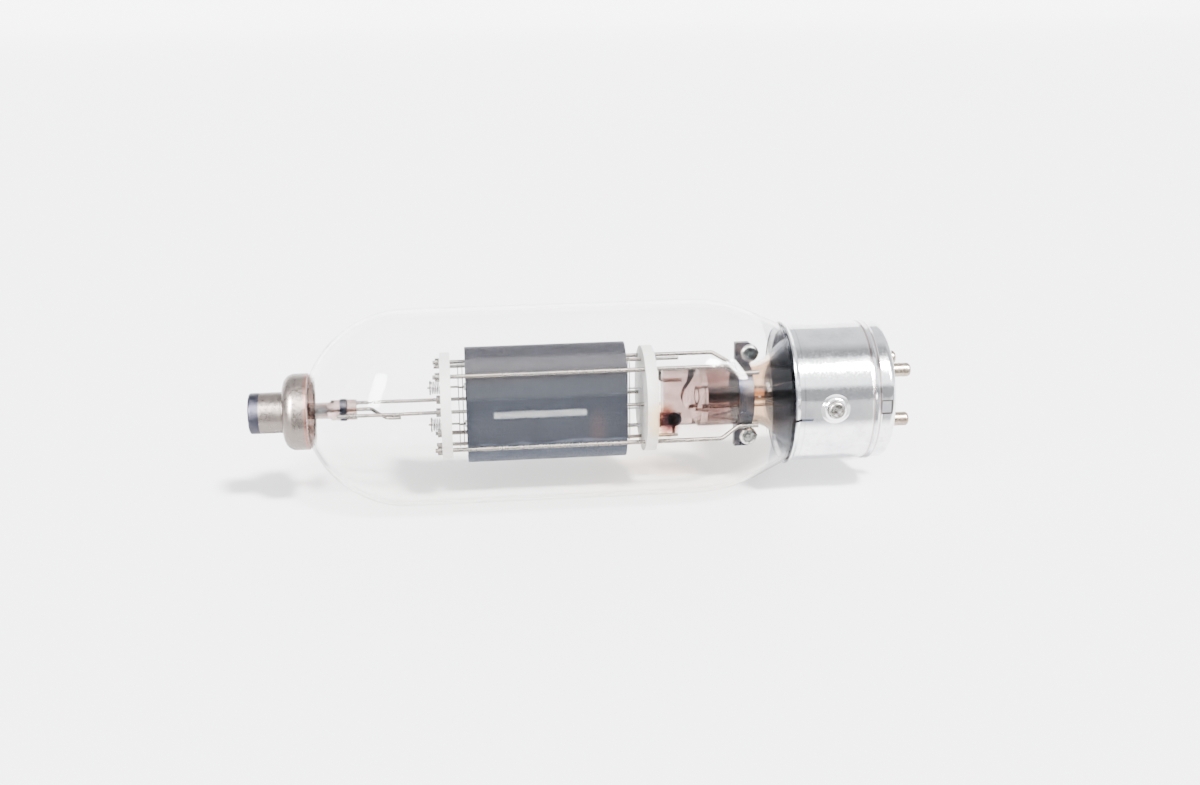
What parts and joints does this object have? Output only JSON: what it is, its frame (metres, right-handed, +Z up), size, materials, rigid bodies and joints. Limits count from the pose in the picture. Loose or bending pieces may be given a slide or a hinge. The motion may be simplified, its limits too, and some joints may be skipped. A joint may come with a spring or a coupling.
{
  "type": "transmitting triode vacuum tube",
  "caption": "Glass transmitting tube lying on its side: domed bulb, flat graphite anode between ceramic discs, skirted plate cap and metal bayonet base with round pins.",
  "frame": {"origin": "on the surface it lies on, under the middle of its length", "axes": "+X along the tube from the plate cap to the base pins, +Z up; the bayonet pin points to -Y"},
  "size_m": [0.224, 0.0668, 0.0668],
  "materials": {
    "clear_glass": "clear blown glass, faint warm tint",
    "stem_glass": "clear lead glass, brownish by heat",
    "graphite": "moulded graphite, matte",
    "white_ceramic": "unglazed white ceramic",
    "nickel_wire": "bright drawn nickel",
    "dark_nickel": "oxidised nickel sheet",
    "tungsten_wire": "thoriated tungsten, grey",
    "spring_wire": "drawn spring wire",
    "cap_nickel": "nickel-plated brass, champagne tone",
    "tinned_end": "dull tinned solder",
    "cement": "fired basing cement, brown-red",
    "base_metal": "polished",
    "insulator": "pressed ceramic, matte",
    "pin_metal": "nickel-plated brass, worn",
    "solder": "dull solder",
    "getter_metal": "dark, flashed",
    "sleeve": "dark insulating sleeve"
  },
  "bodies": {
    "tube": {"anode": "graphite", "anode_lead": "nickel_wire", "anode_rod_back": "nickel_wire", "anode_rod_front": "nickel_wire", "base_cement": "cement", "base_insulator": "insulator", "base_pin_1": "pin_metal", "base_pin_2": "pin_metal", "base_pin_3": "pin_metal", "base_pin_4": "pin_metal", "base_shell": "base_metal", "bayonet_pin": "pin_metal", "cap_cement": "cement", "cap_lead": "nickel_wire", "cap_skirt": "cap_nickel", "cap_solder": "tinned_end", "ceramic_strap": "dark_nickel", "clamp_nut_lower": "nickel_wire", "clamp_nut_upper": "nickel_wire", "clamp_screw_lower": "nickel_wire", "clamp_screw_upper": "nickel_wire", "exhaust_tube": "stem_glass", "filament_bridge": "nickel_wire", "filament_lead_1": "nickel_wire", "filament_lead_2": "nickel_wire", "filament_lower": "tungsten_wire", "filament_post_lower": "nickel_wire", "filament_post_upper": "nickel_wire", "filament_upper": "tungsten_wire", "getter_cup": "getter_metal", "getter_wire": "nickel_wire", "glass_envelope": "clear_glass", "grid_lead": "nickel_wire", "grid_link": "nickel_wire", "grid_rod_lower": "nickel_wire", "grid_rod_upper": "nickel_wire", "grid_winding": "nickel_wire", "lead_sleeve": "sleeve", "lower_ceramic": "white_ceramic", "pin_solder": "solder", "plate_cap": "cap_nickel", "rod_ferrules": "nickel_wire", "seal_band": "dark_nickel", "stem_collar_back": "dark_nickel", "stem_collar_front": "dark_nickel", "stem_glass": "stem_glass", "support_rod_1": "nickel_wire", "support_rod_2": "nickel_wire", "support_rod_3": "nickel_wire", "support_rod_4": "nickel_wire", "tension_spring_lower": "spring_wire", "tension_spring_upper": "spring_wire", "top_seal": "stem_glass", "upper_ceramic": "white_ceramic"},
    "upper_tensioner": {"filament_hook_upper": "nickel_wire", "spring_retainer_upper": "nickel_wire"},
    "lower_tensioner": {"filament_hook_lower": "nickel_wire", "spring_retainer_lower": "nickel_wire"}
  },
  "joints": [
    {"name": "upper_tensioner_slide", "type": "slide", "parent": "tube", "child": "upper_tensioner", "axis": [-1, 0, 0], "range_m": [0, 0.001], "stiffness_N_per_m": 250, "deforming": ["tension_spring_upper", "filament_upper"]},
    {"name": "lower_tensioner_slide", "type": "slide", "parent": "tube", "child": "lower_tensioner", "axis": [-1, 0, 0], "range_m": [0, 0.001], "stiffness_N_per_m": 250, "deforming": ["tension_spring_lower", "filament_lower"]}
  ]
}
